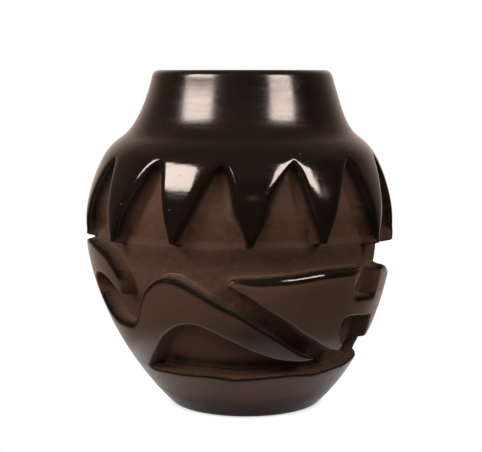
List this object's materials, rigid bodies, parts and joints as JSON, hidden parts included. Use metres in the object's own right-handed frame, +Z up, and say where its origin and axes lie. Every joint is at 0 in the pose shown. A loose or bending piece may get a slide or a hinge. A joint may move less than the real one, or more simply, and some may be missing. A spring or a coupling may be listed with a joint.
{
  "type": "pueblo pottery jar",
  "caption": "Round-bellied coil-built pottery jar with a short flared neck, stone-polished black, deeply carved with a feather band and a water serpent; stands on a flat base.",
  "frame": {"origin": "centre of the flat base, on the surface the jar stands on", "axes": "+Z up the jar's axis to the mouth; -Y is the front, where the serpent's head faces"},
  "size_m": [0.1492, 0.1495, 0.1622],
  "materials": {
    "fired_clay": "stone-polished black slip with matte carved ground"
  },
  "bodies": {
    "root": {"puki_base": "fired_clay", "lower_wall_coil": "fired_clay", "lower_belly_coil": "fired_clay", "belly_coil": "fired_clay", "upper_belly_coil": "fired_clay", "shoulder_coil": "fired_clay", "neck_coil": "fired_clay", "rim_coil": "fired_clay"}
  },
  "joints": []
}
